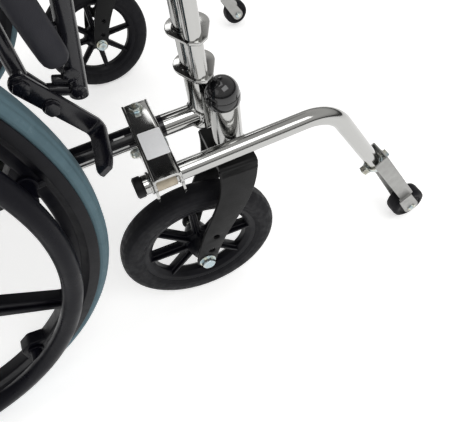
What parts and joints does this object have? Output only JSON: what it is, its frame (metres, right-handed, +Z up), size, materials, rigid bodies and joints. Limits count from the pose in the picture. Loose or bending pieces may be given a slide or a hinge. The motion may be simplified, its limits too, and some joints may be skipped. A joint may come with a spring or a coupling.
{
  "type": "manual wheelchair",
  "caption": "Folding manual wheelchair with chromed tube frame, composite wheels with handrims, caster wheels and front-mounted anti-tip legs.",
  "frame": {"origin": "on the ground, at the middle of the bounding box of the open chair standing level", "axes": "+X towards the front of the chair, +Y to the rider's left, +Z up"},
  "size_m": [1.0267, 0.69, 0.9453],
  "materials": {
    "chrome": "polished chrome plate on steel tube",
    "zinc": "bright zinc plate",
    "black_steel": "satin black powder coat",
    "black_plastic": "fine satin moulding",
    "dome_plastic": "high gloss",
    "grey_rubber": "matte moulded rubber",
    "tyre_grey": "matte blue-grey solid tyre",
    "tyre_black": "matte dark grey solid tyre",
    "handrim_black": "satin black coating",
    "cast_silver": "plain satin metal",
    "upholstery": "coated nylon weave",
    "pad_vinyl": "black grained vinyl"
  },
  "bodies": {
    "frame_right": {"back_cane_right": "chrome", "front_frame_right": "chrome", "lower_side_tube_right": "chrome", "push_grip_right": "grey_rubber", "caster_cap_right": "dome_plastic", "stem_bearing_right": "zinc", "rear_axle_right": "zinc", "anti_tip_bracket_right": "chrome", "anti_tip_tube_right": "chrome", "anti_tip_cap_right": "black_plastic", "anti_tip_clamp_right": "zinc", "lock_mount_right": "black_steel", "back_upholstery": "upholstery"},
    "frame_left": {"back_cane_left": "chrome", "front_frame_left": "chrome", "lower_side_tube_left": "chrome", "push_grip_left": "grey_rubber", "caster_cap_left": "dome_plastic", "stem_bearing_left": "zinc", "rear_axle_left": "zinc", "anti_tip_bracket_left": "chrome", "anti_tip_tube_left": "chrome", "anti_tip_cap_left": "black_plastic", "anti_tip_clamp_left": "zinc", "lock_mount_left": "black_steel"},
    "brace_front": {"cross_brace_front": "black_steel", "brace_pivot_bolt": "zinc"},
    "brace_rear": {"cross_brace_rear": "black_steel", "seat_upholstery": "upholstery"},
    "rear_wheel_right": {"rear_tyre_right": "tyre_grey", "rear_rim_right": "black_plastic", "handrim_right": "handrim_black"},
    "caster_swivel_right": {"caster_fork_right": "black_steel", "caster_axle_right": "zinc"},
    "caster_wheel_right": {"caster_tyre_right": "tyre_black", "caster_rim_right": "black_plastic"},
    "anti_tip_slide_right": {"anti_tip_leg_right": "cast_silver", "anti_tip_axle_right": "zinc"},
    "anti_tip_roller_right": {"anti_tip_wheel_right": "tyre_black"},
    "lock_bar_right": {"lock_shoe_right": "black_steel"},
    "lock_handle_right": {"lock_lever_right": "grey_rubber"},
    "arm_rest_right": {"arm_frame_right": "chrome", "side_panel_right": "black_plastic", "arm_pad_right": "pad_vinyl"},
    "rear_wheel_left": {"rear_tyre_left": "tyre_grey", "rear_rim_left": "black_plastic", "handrim_left": "handrim_black"},
    "caster_swivel_left": {"caster_fork_left": "black_steel", "caster_axle_left": "zinc"},
    "caster_wheel_left": {"caster_tyre_left": "tyre_black", "caster_rim_left": "black_plastic"},
    "anti_tip_slide_left": {"anti_tip_leg_left": "cast_silver", "anti_tip_axle_left": "zinc"},
    "anti_tip_roller_left": {"anti_tip_wheel_left": "tyre_black"},
    "lock_bar_left": {"lock_shoe_left": "black_steel"},
    "lock_handle_left": {"lock_lever_left": "grey_rubber"},
    "arm_rest_left": {"arm_frame_left": "chrome", "side_panel_left": "black_plastic", "arm_pad_left": "pad_vinyl"}
  },
  "joints": [
    {"name": "rear_wheel_spin_right", "type": "hinge", "parent": "frame_right", "child": "rear_wheel_right", "pos_m": [-0.20855, -0.3, 0.305], "axis": [0, 1, 0], "continuous": true},
    {"name": "caster_swivel_turn_right", "type": "hinge", "parent": "frame_right", "child": "caster_swivel_right", "pos_m": [0.23845, -0.2665, 0.255], "axis": [0, 0, 1], "continuous": true},
    {"name": "caster_spin_right", "type": "hinge", "parent": "caster_swivel_right", "child": "caster_wheel_right", "pos_m": [0.18126, -0.2629, 0.1016], "axis": [0.0628, 0.998, 0], "continuous": true},
    {"name": "anti_tip_height_right", "type": "slide", "parent": "frame_right", "child": "anti_tip_slide_right", "axis": [0.515, 0, -0.8572], "range_m": [-0.045, 0.008]},
    {"name": "anti_tip_spin_right", "type": "hinge", "parent": "anti_tip_slide_right", "child": "anti_tip_roller_right", "pos_m": [0.48905, -0.2985, 0.03229], "axis": [0, 1, 0], "continuous": true},
    {"name": "lock_handle_turn_right", "type": "hinge", "parent": "frame_right", "child": "lock_handle_right", "pos_m": [0.11245, -0.2675, 0.416], "axis": [0, 1, 0], "range_deg": [0, 50]},
    {"name": "lock_bar_turn_right", "type": "hinge", "parent": "frame_right", "child": "lock_bar_right", "pos_m": [0.08245, -0.2705, 0.3985], "axis": [0, 1, 0], "range_deg": [0, 8.5]},
    {"name": "arm_rest_lift_right", "type": "slide", "parent": "frame_right", "child": "arm_rest_right", "axis": [0, 0, 1], "range_m": [0, 0.12]},
    {"name": "rear_wheel_spin_left", "type": "hinge", "parent": "frame_left", "child": "rear_wheel_left", "pos_m": [-0.20855, 0.3, 0.305], "axis": [0, 1, 0], "continuous": true},
    {"name": "caster_swivel_turn_left", "type": "hinge", "parent": "frame_left", "child": "caster_swivel_left", "pos_m": [0.23845, 0.2665, 0.255], "axis": [0, 0, 1], "continuous": true},
    {"name": "caster_spin_left", "type": "hinge", "parent": "caster_swivel_left", "child": "caster_wheel_left", "pos_m": [0.18126, 0.2629, 0.1016], "axis": [-0.0628, 0.998, 0], "continuous": true},
    {"name": "anti_tip_height_left", "type": "slide", "parent": "frame_left", "child": "anti_tip_slide_left", "axis": [0.515, 0, -0.8572], "range_m": [-0.045, 0.008]},
    {"name": "anti_tip_spin_left", "type": "hinge", "parent": "anti_tip_slide_left", "child": "anti_tip_roller_left", "pos_m": [0.48905, 0.2985, 0.03229], "axis": [0, 1, 0], "continuous": true},
    {"name": "lock_handle_turn_left", "type": "hinge", "parent": "frame_left", "child": "lock_handle_left", "pos_m": [0.11245, 0.2675, 0.416], "axis": [0, 1, 0], "range_deg": [0, 50]},
    {"name": "lock_bar_turn_left", "type": "hinge", "parent": "frame_left", "child": "lock_bar_left", "pos_m": [0.08245, 0.2705, 0.3985], "axis": [0, 1, 0], "range_deg": [0, 8.5]},
    {"name": "arm_rest_lift_left", "type": "slide", "parent": "frame_left", "child": "arm_rest_left", "axis": [0, 0, 1], "range_m": [0, 0.12]},
    {"name": "fold", "type": "hinge", "parent": "frame_right", "child": "brace_front", "pos_m": [0.00645, -0.2175, 0.287], "axis": [1, 0, 0], "range_deg": [0, 56], "deforming": ["seat_upholstery", "back_upholstery"]},
    {"name": "fold_middle", "type": "hinge", "parent": "brace_front", "child": "brace_rear", "pos_m": [0.00645, 0, 0.3825], "axis": [1, 0, 0], "range_deg": [-112, 0]},
    {"name": "fold_left", "type": "hinge", "parent": "brace_rear", "child": "frame_left", "pos_m": [0.00645, 0.2175, 0.287], "axis": [1, 0, 0], "range_deg": [0, 56]}
  ],
  "couplings": [
    {"joint": "lock_bar_turn_right", "follows": "lock_handle_turn_right", "ratio": 0.17},
    {"joint": "lock_bar_turn_left", "follows": "lock_handle_turn_left", "ratio": 0.17},
    {"joint": "fold_middle", "follows": "fold", "ratio": -2},
    {"joint": "fold_left", "follows": "fold", "ratio": 1}
  ]
}
